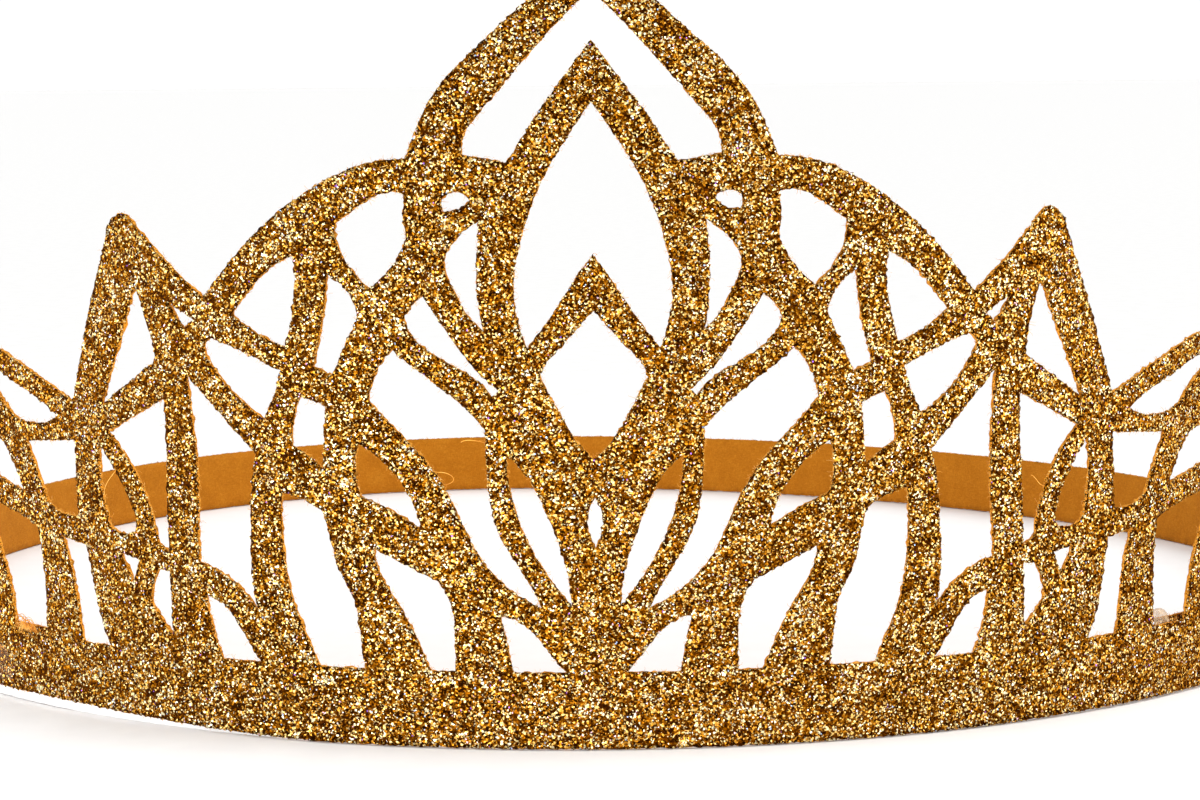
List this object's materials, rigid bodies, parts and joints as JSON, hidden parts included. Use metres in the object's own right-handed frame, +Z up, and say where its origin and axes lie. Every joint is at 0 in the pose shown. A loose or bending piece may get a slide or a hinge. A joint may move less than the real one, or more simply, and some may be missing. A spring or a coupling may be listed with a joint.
{
  "type": "crown",
  "caption": "Round crown of stiff glitter felt: a tall pierced scroll panel at the front joined to a plain low band at the back.",
  "frame": {"origin": "middle of the ring's outline on the plane of the lower rim", "axes": "+Z up out of the wearer's head; the tall pierced panel faces -Y; +X to the right seen from the front"},
  "size_m": [0.1682, 0.174, 0.076],
  "materials": {
    "gold_glitter": "coarse sparkling glitter",
    "mustard_felt": "matte pressed felt",
    "white_liner": "matte",
    "set_glue": "clear to milky, glossy"
  },
  "bodies": {
    "root": {"front_glitter_face": "gold_glitter", "front_felt_backing": "mustard_felt", "back_band_felt": "mustard_felt", "back_band_glitter_face": "gold_glitter", "liner_strip_right": "white_liner", "liner_strip_left": "white_liner", "glue_bead_right": "set_glue", "glue_smear_left": "set_glue"}
  },
  "joints": []
}
